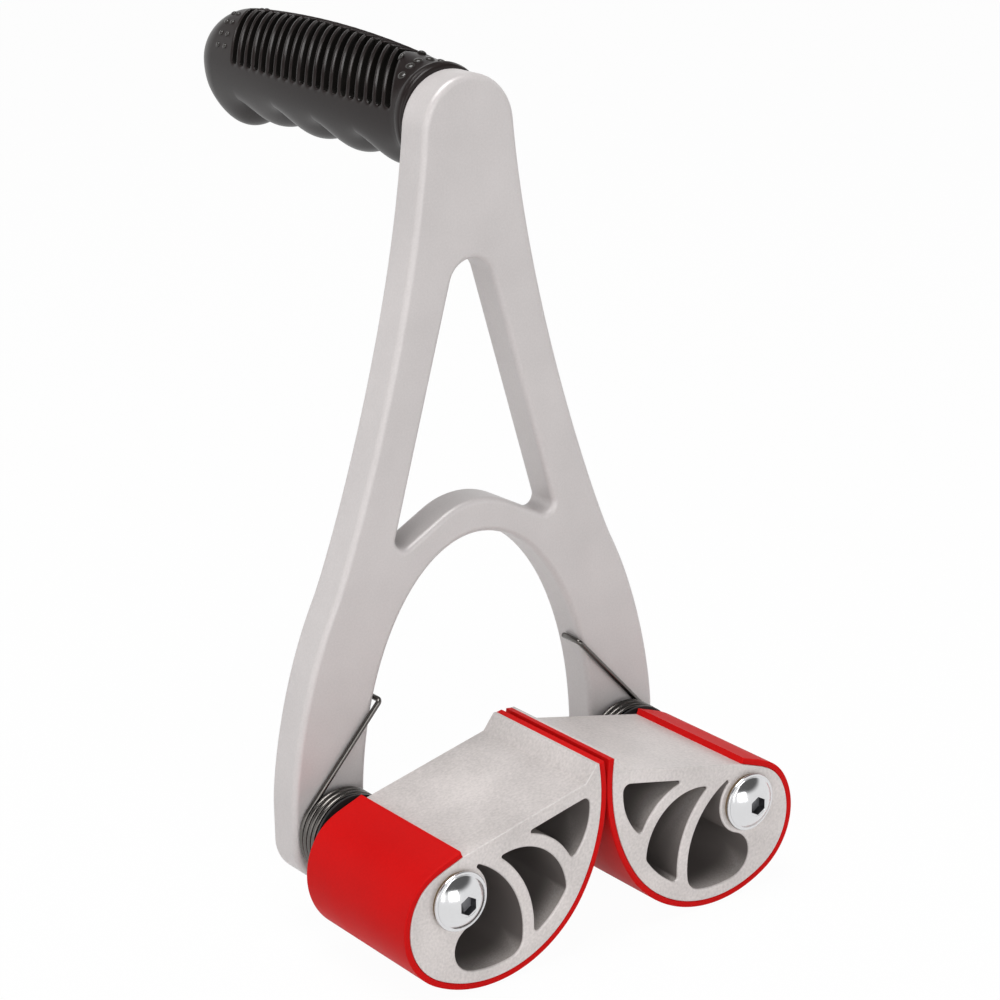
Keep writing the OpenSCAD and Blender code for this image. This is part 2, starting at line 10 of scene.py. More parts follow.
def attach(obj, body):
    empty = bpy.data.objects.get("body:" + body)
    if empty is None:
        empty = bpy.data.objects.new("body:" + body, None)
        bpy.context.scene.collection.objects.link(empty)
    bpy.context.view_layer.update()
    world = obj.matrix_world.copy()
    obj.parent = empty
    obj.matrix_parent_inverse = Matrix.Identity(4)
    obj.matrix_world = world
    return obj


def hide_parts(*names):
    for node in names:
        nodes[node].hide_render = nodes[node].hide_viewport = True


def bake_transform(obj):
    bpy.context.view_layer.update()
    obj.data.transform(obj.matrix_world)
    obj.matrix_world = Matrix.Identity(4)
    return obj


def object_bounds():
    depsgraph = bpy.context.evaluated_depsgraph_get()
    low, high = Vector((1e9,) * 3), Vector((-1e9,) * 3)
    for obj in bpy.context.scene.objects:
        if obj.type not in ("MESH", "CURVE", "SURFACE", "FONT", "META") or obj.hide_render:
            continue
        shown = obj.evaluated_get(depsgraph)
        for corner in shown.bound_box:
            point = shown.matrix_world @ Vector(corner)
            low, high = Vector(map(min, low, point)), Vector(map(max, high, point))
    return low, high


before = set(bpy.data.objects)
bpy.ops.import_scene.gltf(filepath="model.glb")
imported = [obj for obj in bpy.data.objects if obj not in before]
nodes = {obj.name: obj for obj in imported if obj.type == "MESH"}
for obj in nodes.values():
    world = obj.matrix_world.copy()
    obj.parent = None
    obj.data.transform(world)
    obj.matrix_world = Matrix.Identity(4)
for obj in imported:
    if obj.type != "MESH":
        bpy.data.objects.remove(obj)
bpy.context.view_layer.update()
MM = 0.001

# Sizes of the part
FRAME_T = 14.6
PIVOT_X = 63.0
HEAD_Z, HEAD_R, HEAD_LEAN, HEAD_PULL = 236.5, 18.9, 5.0, 69.5
LEG_X, LEG_R, LEG_TOP_Z, LEG_PULL, FOOT_DROP = 65.0, 14.8, 8.5, 9.6, 4.5
WAIST, WAIST_LEAN, WAIST_PULL_UP, WAIST_PULL_DOWN = (60.8, 80.0), 27.3, 11.6, 32.3
ARCH_Z, ARCH_SPRING_Z = 94.0, 4.0
WINDOW_TOP, WINDOW_TOP_R, WINDOW_LEAN, WINDOW_CORNER_R = 192.2, 9.0, 16.2, 3.5
BAR_Z, BAR_R, BAR_SLOPE = 106.6, 30.0, 28.0
CAM_BACK_Y, CAM_LEN = -13.6, 58.5
CAM_FRONT_Y = CAM_BACK_Y - CAM_LEN
NOSE_R, BELLY_R, FACE_R, FACE_Z = 22.6, 43.5, 65.0, 21.6
BELLY_TURN, FACE_TURN, NOSE_START = 240.0, 328.5, 150.0
TIP_Z, LIP_H, LIP_W, LIP_SLOPE = 32.1, 5.6, 1.2, 52.0
SHOULDER, SHOULDER_SLOPE, SHOULDER_PULL, NOSE_PULL = (2.6, 14.6), 22.0, 9.0, 8.0
PAD_T, PAD_GAP = 2.3, 0.3
BOSS_R, RIB_T, TOP_WALL = 12.2, 4.7, 5.0
BELLY_WALL, HEEL_WALL, FACE_WALL = 4.3, 6.0, 4.6
FLAT_R, HOLLOW_R, HOLLOW_TURN = 2000.0, 23.1, -6.0
POINT_R, NARROW_R, FIRST_BROAD_R, SECOND_BROAD_R, THIRD_BROAD_R = 0.7, 1.4, 6.5, 3.0, 2.5
BUSH_R, BOLT_R = 7.0, 5.0
SPINE_C, SPINE_R = (-5.2, -18.8), 34.5
WEB_C, WEB_R = (24.0, -10.5), 23.9
LOBE_R = 8.6
STUD_R, STUD_IN = 6.0, 11.0
BAR_ROD_R, BAR_COVER = 9.0, 9.0
GRIP_LEN, GRIP_Z, GRIP_RISE = 135.5, 239.4, 3.8
GRIP_TOP_R, GRIP_LOW_R, GRIP_SIDE_R = 20.8, 20.3, 19.5
GRIP_CROWN_Y, GRIP_CROWN_DROP = 72.0, 4.6
GRIP_END_LEN, GRIP_END_SCALE, GRIP_END_SHAPE = 14.5, 0.1, 0.62
GRIP_HEEL, HEEL_FROM = 4.2, 89.0
FINGER_PITCH, FINGER_FIRST, FINGER_DEPTH = 25.4, 30.5, 8.0
FINGER_FROM, FINGER_FULL = 0.2, 1.0
GRIP_FLARE, GRIP_FLARE_LEN = 2.2, 8.0
WIRE_R, COIL_R, COIL_TURNS = 1.0, 15.0, 3
HOOK_Z, HOOK_LEN, TAIL_LEN, TAIL_BEND_R = 43.0, 8.0, 8.0, 2.2
END_PLAY, BUSH_FLANGE_T, THRUST_T, FLANGE_T = 0.3, 0.8, 0.8, 1.0
COLLAR_R, COLLAR_T, DOME_R, DOME_H = 10.5, 1.0, 9.5, 4.5
SOCKET_W, SOCKET_DEPTH = 6.0, 3.4
RECESS_R, RECESS_DEPTH = 10.8, 8.0
WASHER_T, NUT_H, NUT_COLLAR_H, BOLT_TAIL = 2.0, 7.0, 3.0, 2.0
FIXED_PLAY = 0.05
GROOVE_HALF, GROOVE_DEPTH, GROOVE_RUN, GROOVE_END_Z = 1.6, 2.5, 15.3, 3.0

# Rounding of edges
FRAME_ROUND, CAM_ROUND, POCKET_ROUND, PAD_ROUND = 2.3, 0.35, 0.7, 0.6
HOLE_ROUND, BUSH_HOLE_ROUND = 0.4, 0.2

# Steps along the curves of the outlines
HEAD_STEPS, FLANK_STEPS, SHIN_STEPS, FOOT_STEPS, ARCH_STEPS = 24, 40, 30, 48, 60
WINDOW_TOP_STEPS, WINDOW_CORNER_STEPS, BAR_STEPS = 32, 16, 24
SHOULDER_STEPS, NOSE_STEPS, BELLY_STEPS, FACE_STEPS = 16, 36, 60, 40
WALL_STEPS, ROUND_STEPS = 36, 14


# Plane geometry
def way(degrees):
    a = math.radians(degrees)
    return Vector((math.cos(a), math.sin(a)))


def arc(centre, r, a0, a1, steps):
    centre = Vector(centre)
    return [centre + r * way(a0 + (a1 - a0) * i / steps) for i in range(steps + 1)]


def curve(p0, d0, pull0, p1, d1, pull1, steps):
    p0, p1 = Vector(p0), Vector(p1)
    c0, c1 = p0 + d0 * pull0, p1 - d1 * pull1
    points = []
    for i in range(steps + 1):
        t = i / steps
        s = 1 - t
        points.append(s**3 * p0 + 3 * s * s * t * c0 + 3 * s * t * t * c1 + t**3 * p1)
    return points


def corner(a, b, c, r, steps):
    a, b, c = Vector(a), Vector(b), Vector(c)
    u, v = (a - b).normalized(), (c - b).normalized()
    half = math.acos(u.dot(v)) / 2
    centre = b + (u + v).normalized() * r / math.sin(half)
    start = b + u * r / math.tan(half) - centre
    end = b + v * r / math.tan(half) - centre
    a0 = math.degrees(math.atan2(start.y, start.x))
    turn = math.degrees(math.atan2(start.x * end.y - start.y * end.x, start.dot(end)))
    return arc(centre, r, a0, a0 + turn, steps)


def angle(p):
    return math.degrees(math.atan2(p.y, p.x))


def mirrored(points):
    return [Vector((-p.x, p.y)) for p in points]


def shifted(points, dx):
    return [Vector((p.x + dx, p.y)) for p in points]


def circle(centre, r, steps=48):
    return arc(centre, r, 0, 360, steps)[:-1]


def area(points):
    pairs = zip(points, points[1:] + points[:1])
    return sum(p.x * q.y - q.x * p.y for p, q in pairs) / 2


def clean(points, least=0.05):
    kept = []
    for p in points:
        if not kept or (p - kept[-1]).length > least:
            kept.append(p)
    if (kept[0] - kept[-1]).length <= least:
        kept.pop()
    return kept


# Outlines of the frame and its window
def frame_outline():
    head_edge = Vector((0, HEAD_Z)) + HEAD_R * way(HEAD_LEAN)
    lean = way(WAIST_LEAN - 90)
    arch_w, arch_h = LEG_X - LEG_R, ARCH_Z - ARCH_SPRING_Z
    half = arc((0, HEAD_Z), HEAD_R, 90, HEAD_LEAN, HEAD_STEPS)
    half += curve(head_edge, way(HEAD_LEAN - 90), HEAD_PULL, WAIST, lean, WAIST_PULL_UP, FLANK_STEPS)
    half += curve(WAIST, lean, WAIST_PULL_DOWN,
                  (LEG_X + LEG_R, LEG_TOP_Z), way(-90), LEG_PULL, SHIN_STEPS)
    half += arc((LEG_X, -FOOT_DROP), LEG_R, 0, -180, FOOT_STEPS)
    turns = [way(90 * i / ARCH_STEPS) for i in range(ARCH_STEPS)]
    half += [Vector((arch_w * t.x, ARCH_SPRING_Z + arch_h * t.y)) for t in turns]
    return clean(half + [Vector((0, ARCH_Z))] + mirrored(half[1:])[::-1])


def window_outline():
    peak = Vector((0, WINDOW_TOP + WINDOW_TOP_R * (1 / math.sin(math.radians(WINDOW_LEAN)) - 1)))
    crest = Vector((0, BAR_Z + BAR_R * (1 / math.cos(math.radians(BAR_SLOPE)) - 1)))
    lean, slope = math.tan(math.radians(WINDOW_LEAN)), math.tan(math.radians(BAR_SLOPE))
    foot_x = (peak.y - crest.y) * lean / (1 - slope * lean)
    right = Vector((foot_x, crest.y - foot_x * slope))
    left = Vector((-right.x, right.y))
    return clean(
        corner(left, peak, right, WINDOW_TOP_R, WINDOW_TOP_STEPS)
        + corner(peak, right, crest, WINDOW_CORNER_R, WINDOW_CORNER_STEPS)
        + corner(right, crest, left, BAR_R, BAR_STEPS)
        + corner(crest, left, peak, WINDOW_CORNER_R, WINDOW_CORNER_STEPS))


# Outlines of the cam, its pad and its pockets, from the left pivot
CAM_REACH = PIVOT_X - PAD_GAP / 2 - PAD_T
FACE_C = Vector((CAM_REACH - FACE_R, FACE_Z))
BELLY_C = FACE_C + (FACE_R - BELLY_R) * way(FACE_TURN)
NOSE_C = BELLY_C + (BELLY_R - NOSE_R) * way(BELLY_TURN)
TIP_ANGLE = math.degrees(math.asin((TIP_Z - FACE_Z) / FACE_R))
TIP = FACE_C + FACE_R * way(TIP_ANGLE)
LIP_FOOT = Vector((TIP.x - LIP_W - LIP_H / math.tan(math.radians(LIP_SLOPE)), TIP_Z - LIP_H))
TOP_NORMAL = Vector((SHOULDER[1] - LIP_FOOT.y, LIP_FOOT.x - SHOULDER[0])).normalized()
TOP_MIDDLE = (Vector(SHOULDER) + LIP_FOOT) / 2


def padded_edge():
    nose_top = NOSE_C + NOSE_R * way(NOSE_START)
    edge = curve(SHOULDER, way(180 + SHOULDER_SLOPE), SHOULDER_PULL,
                 nose_top, way(NOSE_START + 90), NOSE_PULL, SHOULDER_STEPS)
    edge += arc(NOSE_C, NOSE_R, NOSE_START, BELLY_TURN, NOSE_STEPS)
    edge += arc(BELLY_C, BELLY_R, BELLY_TURN, FACE_TURN, BELLY_STEPS)
    edge += arc(FACE_C, FACE_R, FACE_TURN - 360, TIP_ANGLE, FACE_STEPS)
    return clean(edge)


def cam_outline():
    return padded_edge() + [TIP - Vector((LIP_W, 0)), LIP_FOOT]


def pad_outline():
    edge = padded_edge()
    outer = []
    for i, p in enumerate(edge):
        along = (edge[min(i + 1, len(edge) - 1)] - edge[max(i - 1, 0)]).normalized()
        outer.append(p + PAD_T * Vector((along.y, -along.x)))
    return edge + outer[::-1]


# A wall of a pocket is part of a circle: its centre, its radius, and 1 where the pocket lies inside
# the circle or -1 where it lies outside. A round between two walls is its radius, and 1 or -1 for
# the side of the line between their centres on which it lies.
BOSS_WALL = (Vector((0, 0)), BOSS_R, -1)
FIRST_LOW_WALL = (BELLY_C, BELLY_R - BELLY_WALL, 1)
SECOND_LOW_WALL = (BELLY_C, BELLY_R - HEEL_WALL, 1)
FRONT_WALL = (FACE_C + (FACE_R - FACE_WALL - HOLLOW_R) * way(HOLLOW_TURN), HOLLOW_R, 1)
HIGH_WALL = (TOP_MIDDLE - (FLAT_R + TOP_WALL) * TOP_NORMAL, FLAT_R, 1)
SPINE_NEAR = (Vector(SPINE_C), SPINE_R - RIB_T / 2, 1)
SPINE_FAR = (Vector(SPINE_C), SPINE_R + RIB_T / 2, -1)
WEB_NEAR = (Vector(WEB_C), WEB_R - RIB_T / 2, 1)
WEB_FAR = (Vector(WEB_C), WEB_R + RIB_T / 2, -1)
LOBE = (LOBE_R, -1)


def meet(c1, r1, c2, r2, side):
    """Where two circles meet, on one side of the line between their centres."""
    d = (c2 - c1).length
    u = (c2 - c1) / d
    along = (r1 * r1 - r2 * r2 + d * d) / (2 * d)
    return c1 + along * u + side * math.sqrt(r1 * r1 - along * along) * Vector((-u.y, u.x))


def round_centre(wall, other, rounding):
    r, side = rounding
    return meet(wall[0], wall[1] - wall[2] * r, other[0], other[1] - other[2] * r, side)


def touch_angle(p, wall):
    return angle(p - wall[0]) + (0 if wall[2] > 0 else 180)


def pocket(walls, rounds):
    n = len(walls)
    centres = [round_centre(walls[i], walls[(i + 1) % n], rounds[i]) for i in range(n)]
    points = []
    for i, (c, r, inside) in enumerate(walls):
        start, end = angle(centres[i - 1] - c), angle(centres[i] - c)
        turn = (end - start) % 360 if inside > 0 else -((start - end) % 360)
        points += arc(c, r, start, start + turn, WALL_STEPS)
        round_start = touch_angle(centres[i], walls[i])
        bend = (touch_angle(centres[i], walls[(i + 1) % n]) - round_start) % 360
        points += arc(centres[i], rounds[i][0], round_start, round_start + bend, ROUND_STEPS)[1:-1]
    return clean(points)


def cam_pockets():
    return [
        pocket([SPINE_NEAR, BOSS_WALL, FIRST_LOW_WALL], [(POINT_R, -1), LOBE, (FIRST_BROAD_R, 1)]),
        pocket([WEB_NEAR, SPINE_FAR, SECOND_LOW_WALL],
               [(POINT_R, -1), (NARROW_R, -1), (SECOND_BROAD_R, 1)]),
        pocket([FRONT_WALL, HIGH_WALL, WEB_FAR], [(THIRD_BROAD_R, 1), (POINT_R, -1), (NARROW_R, -1)])]


# Solids
def add_object(name, bm, sharp=35):
    bmesh.ops.recalc_face_normals(bm, faces=bm.faces)
    mesh = bpy.data.meshes.new(name)
    bm.to_mesh(mesh)
    bm.free()
    mesh.shade_smooth()
    mesh.set_sharp_from_angle(angle=math.radians(sharp))
    obj = bpy.data.objects.new(name, mesh)
    bpy.context.scene.collection.objects.link(obj)
    return obj


def weighted(obj):
    """Flat faces stay flat where a rounded edge runs into them."""
    modifier = obj.modifiers.new("weighted", "WEIGHTED_NORMAL")
    modifier.keep_sharp = True
    modifier.mode = "FACE_AREA"
    modifier.weight = 100
    return obj


MITRE_LEAST, TURNS_BACK = 0.55, 1e-6


def inward(points):
    """At each point, the way into the solid for an outline that runs anticlockwise."""
    ways = []
    for i, p in enumerate(points):
        u = (p - points[i - 1]).normalized()
        v = (points[(i + 1) % len(points)] - p).normalized()
        n = Vector((-u.y, u.x)) + Vector((-v.y, v.x))
        n = n.normalized() if n.length > TURNS_BACK else Vector((-u.y, u.x))
        ways.append(n / max(n.dot(Vector((-u.y, u.x))), MITRE_LEAST))
    return ways


def band(bm, low, high):
    faces = []
    for i in range(len(low)):
        j = (i + 1) % len(low)
        faces.append(bm.faces.new((low[i], low[j], high[j], high[i])))
    return faces


def ring_edges(bm, ring):
    found = []
    for i, v in enumerate(ring):
        w = ring[(i + 1) % len(ring)]
        found.append(bm.edges.get((v, w)) or bm.edges.new((v, w)))
    return found


def slab(name, loops, y0, y1, steps=5, sunk=()):
    """Outlines drawn out along Y. Each loop is (points, is it a hole, edge radius, material of its wall).
    Each sunk hole is (centre, radius, depth from the rear, radius of the bore that goes on or None)."""
    bm = bmesh.new()
    front, back = [], []

    def ring(points, y):
        return [bm.verts.new((MM * p.x, MM * y, MM * p.y)) for p in points]

    for points, hole, r, wall_material in loops:
        points = [Vector(p) for p in points]
        if (area(points) < 0) != hole:
            points = points[::-1]
        ways = inward(points)
        rings = []
        for at_front in (True, False):
            for k in range(steps + 1):
                a = math.radians(90 * (k if at_front else steps - k) / steps)
                inset, depth = r * (1 - math.sin(a)), r * (1 - math.cos(a))
                rings.append(ring([p + n * inset for p, n in zip(points, ways)],
                                  y0 + depth if at_front else y1 - depth))
        for i, (low, high) in enumerate(zip(rings, rings[1:])):
            for face in band(bm, low, high):
                face.material_index = wall_material if i == steps else 0
        front.append(rings[0])
        back.append(rings[-1])
    for centre, r, depth, through in sunk:
        rings = [ring(circle(centre, r + HOLE_ROUND), y1), ring(circle(centre, r), y1 - HOLE_ROUND),
                 ring(circle(centre, r), y1 - depth)]
        if through:
            rings += [ring(circle(centre, through), y1 - depth), ring(circle(centre, through), y0)]
            front.append(rings[-1])
        else:
            bm.faces.new(rings[-1])
        for low, high in zip(rings, rings[1:]):
            band(bm, low, high)
        back.append(rings[0])
    for rings, normal in ((front, (0, -1, 0)), (back, (0, 1, 0))):
        edges = [e for ring in rings for e in ring_edges(bm, ring)]
        bmesh.ops.triangle_fill(bm, edges=edges, use_beauty=True, use_dissolve=False, normal=normal)
    return weighted(add_object(name, bm))


TUBE_END_LEN, TUBE_END_SCALE = 0.3, 0.7


def tube(name, route, r, sides=14):
    """One unbroken wire along a route, with ends that taper over a share of its radius."""
    bm = bmesh.new()
    n = len(route)
    along = [(route[min(i + 1, n - 1)] - route[max(i - 1, 0)]).normalized() for i in range(n)]
    across = Vector((1, 0, 0))
    rings = []
    for i, (p, t) in enumerate(zip(route, along)):
        across = (across - across.dot(t) * t).normalized()
        other = t.cross(across)
        rings.append([bm.verts.new(MM * (p + r * (math.cos(a) * across + math.sin(a) * other)))
                      for a in (math.tau * k / sides for k in range(sides))])
    for low, high in zip(rings, rings[1:]):
        band(bm, low, high)
    for ring, p, t in ((rings[0], route[0], -along[0]), (rings[-1], route[-1], along[-1])):
        tip = MM * (p + TUBE_END_LEN * r * t)
        chamfer = [bm.verts.new(tip + (v.co - MM * p) * TUBE_END_SCALE) for v in ring]
        band(bm, ring, chamfer)
        bm.faces.new(chamfer)
    return add_object(name, bm, sharp=50)


def lathe(name, rings, centre, inner, sides=96):
    """Rings about Y: (y, radius as a function of the turn or a number), closed at both ends.
    The first few rings, counted by inner, line a hollow that has the second material."""
    bm = bmesh.new()
    made = []
    for y, r in rings:
        ring = []
        for k in range(sides):
            a = math.tau * k / sides
            radius = r(a) if callable(r) else r
            ring.append(bm.verts.new((MM * (centre[0] + radius * math.cos(a)), MM * y,
                                      MM * (centre[1] + radius * math.sin(a)))))
        made.append(ring)
    for i, (low, high) in enumerate(zip(made, made[1:])):
        for face in band(bm, low, high):
            face.material_index = int(i < inner)
    bm.faces.new(made[0]).material_index = 1
    bm.faces.new(made[-1])
    return add_object(name, bm, sharp=32)


def hexagon(width):
    """Radius of a hexagon, by turn."""
    return lambda a: width / 2 / math.cos((a + math.pi / 6) % (math.pi / 3) - math.pi / 6)


# Materials
TONE_FROM, TONE_TO = 0.7, 1.3
CLOUD_SCALE, CLOUD_FROM, CLOUD_TO, ROUGH_SPREAD = 40, 0.3, 0.7, 0.1
# Painted shade in the cam pockets: how far a wall must face up to keep its colour, and over how many
# millimetres from the front the shade deepens
FACES_UP, FACES_ASIDE = 0.9, 0.1
POCKET_SHADE_FALL = 14


def material(name, slot, colour, roughness, metallic=0.0, **more):
    """A surface with fine grain: noise varies its colour and roughness a little and gives it bump."""
    m = bpy.data.materials.new(name)
    m.use_nodes = True
    tree = m.node_tree
    shader = tree.nodes["Principled BSDF"]
    shader.inputs["Metallic"].default_value = metallic
    shader.inputs["Specular IOR Level"].default_value = more.get("specular", 0.5)
    place = tree.nodes.new("ShaderNodeTexCoord")
    grain = tree.nodes.new("ShaderNodeTexNoise")
    grain.inputs["Scale"].default_value = more.get("grain", 1500)
    grain.inputs["Detail"].default_value = 3
    tree.links.new(place.outputs["Object"], grain.inputs["Vector"])
    cloud = tree.nodes.new("ShaderNodeTexNoise")
    cloud.inputs["Scale"].default_value = CLOUD_SCALE
    cloud.inputs["Detail"].default_value = 4
    tree.links.new(place.outputs["Object"], cloud.inputs["Vector"])
    both = tree.nodes.new("ShaderNodeMath")
    both.operation = "ADD"
    tree.links.new(grain.outputs["Fac"], both.inputs[0])
    tree.links.new(cloud.outputs["Fac"], both.inputs[1])
    ramp = tree.nodes.new("ShaderNodeMapRange")
    ramp.inputs["From Min"].default_value = TONE_FROM
    ramp.inputs["From Max"].default_value = TONE_TO
    tree.links.new(both.outputs["Value"], ramp.inputs["Value"])
    tone = tree.nodes.new("ShaderNodeMix")
    tone.data_type = "RGBA"
    vary = more.get("vary", 0.05)
    tone.inputs["A"].default_value = [c * (1 - vary) for c in colour] + [1]
    tone.inputs["B"].default_value = [min(c * (1 + vary), 1) for c in colour] + [1]
    tree.links.new(ramp.outputs["Result"], tone.inputs["Factor"])
    tree.links.new(tone.outputs["Result"], shader.inputs["Base Color"])
    rough = tree.nodes.new("ShaderNodeMapRange")
    rough.inputs["From Min"].default_value = CLOUD_FROM
    rough.inputs["From Max"].default_value = CLOUD_TO
    rough.inputs["To Min"].default_value = roughness * (1 - ROUGH_SPREAD)
    rough.inputs["To Max"].default_value = roughness * (1 + ROUGH_SPREAD)
    tree.links.new(cloud.outputs["Fac"], rough.inputs["Value"])
    tree.links.new(rough.outputs["Result"], shader.inputs["Roughness"])
    bump = tree.nodes.new("ShaderNodeBump")
    bump.inputs["Strength"].default_value = more.get("bump", 0.15)
    bump.inputs["Distance"].default_value = more.get("height", 0.05) * MM
    tree.links.new(grain.outputs["Fac"], bump.inputs["Height"])
    tree.links.new(bump.outputs["Normal"], shader.inputs["Normal"])
    m["slot"] = slot
    return m


def paint_pocket_shade(m, front_y, depth, shade_colour):
    """Painted shade on the walls of a pocket: they turn to the given dark colour with depth from the front,
    and at once where they don't face up.
    """
    tree = m.node_tree
    shader = tree.nodes["Principled BSDF"]
    colour = shader.inputs["Base Color"].links[0].from_socket
    place = tree.nodes.new("ShaderNodeTexCoord")
    split = tree.nodes.new("ShaderNodeSeparateXYZ")
    tree.links.new(place.outputs["Object"], split.inputs["Vector"])
    fall = tree.nodes.new("ShaderNodeMapRange")
    fall.interpolation_type = "SMOOTHSTEP"
    fall.inputs["From Min"].default_value = front_y * MM
    fall.inputs["From Max"].default_value = (front_y + depth) * MM
    tree.links.new(split.outputs["Y"], fall.inputs["Value"])
    facing = tree.nodes.new("ShaderNodeSeparateXYZ")
    tree.links.new(place.outputs["Normal"], facing.inputs["Vector"])
    away = tree.nodes.new("ShaderNodeMapRange")
    away.interpolation_type = "SMOOTHSTEP"
    away.inputs["From Min"].default_value = FACES_UP
    away.inputs["From Max"].default_value = FACES_ASIDE
    tree.links.new(facing.outputs["Z"], away.inputs["Value"])
    dark = tree.nodes.new("ShaderNodeMath")
    dark.operation = "MAXIMUM"
    tree.links.new(fall.outputs["Result"], dark.inputs[0])
    tree.links.new(away.outputs["Result"], dark.inputs[1])
    blend = tree.nodes.new("ShaderNodeMix")
    blend.data_type = "RGBA"
    blend.inputs["B"].default_value = shade_colour + (1,)
    tree.links.new(dark.outputs["Value"], blend.inputs["Factor"])
    tree.links.new(colour, blend.inputs["A"])
    tree.links.new(blend.outputs["Result"], shader.inputs["Base Color"])
    return m


COAT = material("frame_coat", "frame_coat", (0.545, 0.515, 0.51), 0.42, 0.15,
                grain=1400, bump=0.2, height=0.03, vary=0.06)
ALUMINIUM = material("cam_aluminium", "cam_aluminium", (0.60, 0.56, 0.545), 0.45, 0.25,
                     grain=1000, bump=0.3, height=0.04, vary=0.15)
# Painted shade: the pocket walls get a darker copy of the cam aluminium, darker still with depth and where
# they don't face up
SHADED_POCKET = paint_pocket_shade(
    material("cam_pocket_shaded", "cam_aluminium", (0.36, 0.33, 0.315), 0.6, 0.0,
             grain=1500, bump=0.4, height=0.06, vary=0.2, specular=0.02),
    CAM_FRONT_Y, POCKET_SHADE_FALL, (0.16, 0.142, 0.135))
RED = material("pad_rubber", "pad_rubber", (0.52, 0.005, 0.005), 0.5, 0.0,
               grain=1300, bump=0.18, height=0.04, vary=0.06, specular=0.05)
CHARCOAL = material("grip_rubber", "grip_rubber", (0.0135, 0.0095, 0.009), 0.33, 0.0,
                    grain=1100, bump=0.25, height=0.05, vary=0.15, specular=0.25)
# Painted shade: the floors of the grip's grooves get a near-black copy of the grip rubber
GROOVE_SHADE = material("grip_groove_shade", "grip_rubber", (0.005, 0.0045, 0.004), 0.6, 0.0,
                        grain=1100, bump=0.2, height=0.05, vary=0.2, specular=0.02)
GLOSSY_PIP = material("grip_pip", "grip_rubber", (0.03, 0.027, 0.025), 0.2, 0.0,
                      grain=900, bump=0.1, height=0.02, vary=0.1)
CHROME = material("bolt_chrome", "bolt_chrome", (0.70, 0.70, 0.71), 0.15, 1.0,
                  grain=900, bump=0.02, height=0.01, vary=0.02)
# Painted shade: the inside of the hexagon socket gets a dark copy of the bolt chrome
SHADED_SOCKET = material("bolt_socket_shade", "bolt_chrome", (0.20, 0.20, 0.21), 0.3, 1.0,
                  grain=900, bump=0.1, height=0.02, vary=0.1)
ZINC = material("plain_steel", "plain_steel", (0.55, 0.55, 0.56), 0.3, 1.0,
                grain=1400, bump=0.2, height=0.03, vary=0.08)
WIRE = material("spring_steel", "spring_steel", (0.13, 0.122, 0.115), 0.25, 1.0,
                grain=1600, bump=0.15, height=0.02, vary=0.15)
BLACK = material("sleeve_plastic", "sleeve_plastic", (0.012, 0.012, 0.0125), 0.4, 0.0,
                 grain=1500, bump=0.2, height=0.04, vary=0.2)
SLATE = material("thrust_plastic", "thrust_plastic", (0.06, 0.06, 0.06), 0.45, 0.0,
                 grain=1500, bump=0.2, height=0.04, vary=0.12)
BLUE = material("insert_plastic", "insert_plastic", (0.03, 0.08, 0.30), 0.4, 0.0,
                grain=1500, bump=0.2, height=0.03, vary=0.1)
BRONZE = material("bush_bronze", "bush_bronze", (0.27, 0.20, 0.12), 0.4, 1.0,
                  grain=1800, bump=0.3, height=0.03, vary=0.12)


def dress(obj, *materials):
    for m in materials:
        obj.data.materials.append(m)
    return obj


# CAD pieces that stay as they are
for name, obj in nodes.items():
    for part, m in (("stud", ZINC), ("bar", ZINC), ("lock_nut", ZINC), ("rear_washer", ZINC),
                    ("insert", BLUE), ("sleeve", BLACK), ("thrust", SLATE), ("bush", BRONZE)):
        if part in name:
            obj.data.materials.clear()
            obj.data.materials.append(m)

# Frame: rounded all round, with the recesses for the lock nuts and the blind hole for the stud
frame_piece = slab(
    "frame_body",
    [(frame_outline(), False, FRAME_ROUND, 0), (window_outline(), True, FRAME_ROUND, 0)],
    0, FRAME_T, steps=6,
    sunk=[((-PIVOT_X, 0), RECESS_R, RECESS_DEPTH, BOLT_R + FIXED_PLAY),
          ((PIVOT_X, 0), RECESS_R, RECESS_DEPTH, BOLT_R + FIXED_PLAY),
          ((0, GRIP_Z), STUD_R + FIXED_PLAY, STUD_IN, None)])
dress(frame_piece, COAT)
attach(frame_piece, "carrier")
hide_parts("frame")

# Cams and pads, on either side
SIDES = {"left": -1, "right": 1}


def at_side(points, side):
    placed = shifted(points, -PIVOT_X)
    return placed if side < 0 else mirrored(placed)


for side_name, side in SIDES.items():
    loops = [(at_side(cam_outline(), side), False, CAM_ROUND, 0)]
    loops += [(at_side(p, side), True, POCKET_ROUND, 1) for p in cam_pockets()]
    loops.append((at_side(circle((0, 0), BUSH_R), side), True, BUSH_HOLE_ROUND, 0))
    cam = slab(f"{side_name}_cam_body", loops, CAM_FRONT_Y, CAM_BACK_Y, steps=3)
    dress(cam, ALUMINIUM, SHADED_POCKET)
    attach(cam, f"{side_name}_jaw")
    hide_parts(f"{side_name}_cam")
    pad = slab(f"{side_name}_pad_band", [(at_side(pad_outline(), side), False, PAD_ROUND, 0)],
               CAM_FRONT_Y, CAM_BACK_Y, steps=4)
    dress(pad, RED)
    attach(pad, f"{side_name}_jaw")
    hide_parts(f"{side_name}_pad")

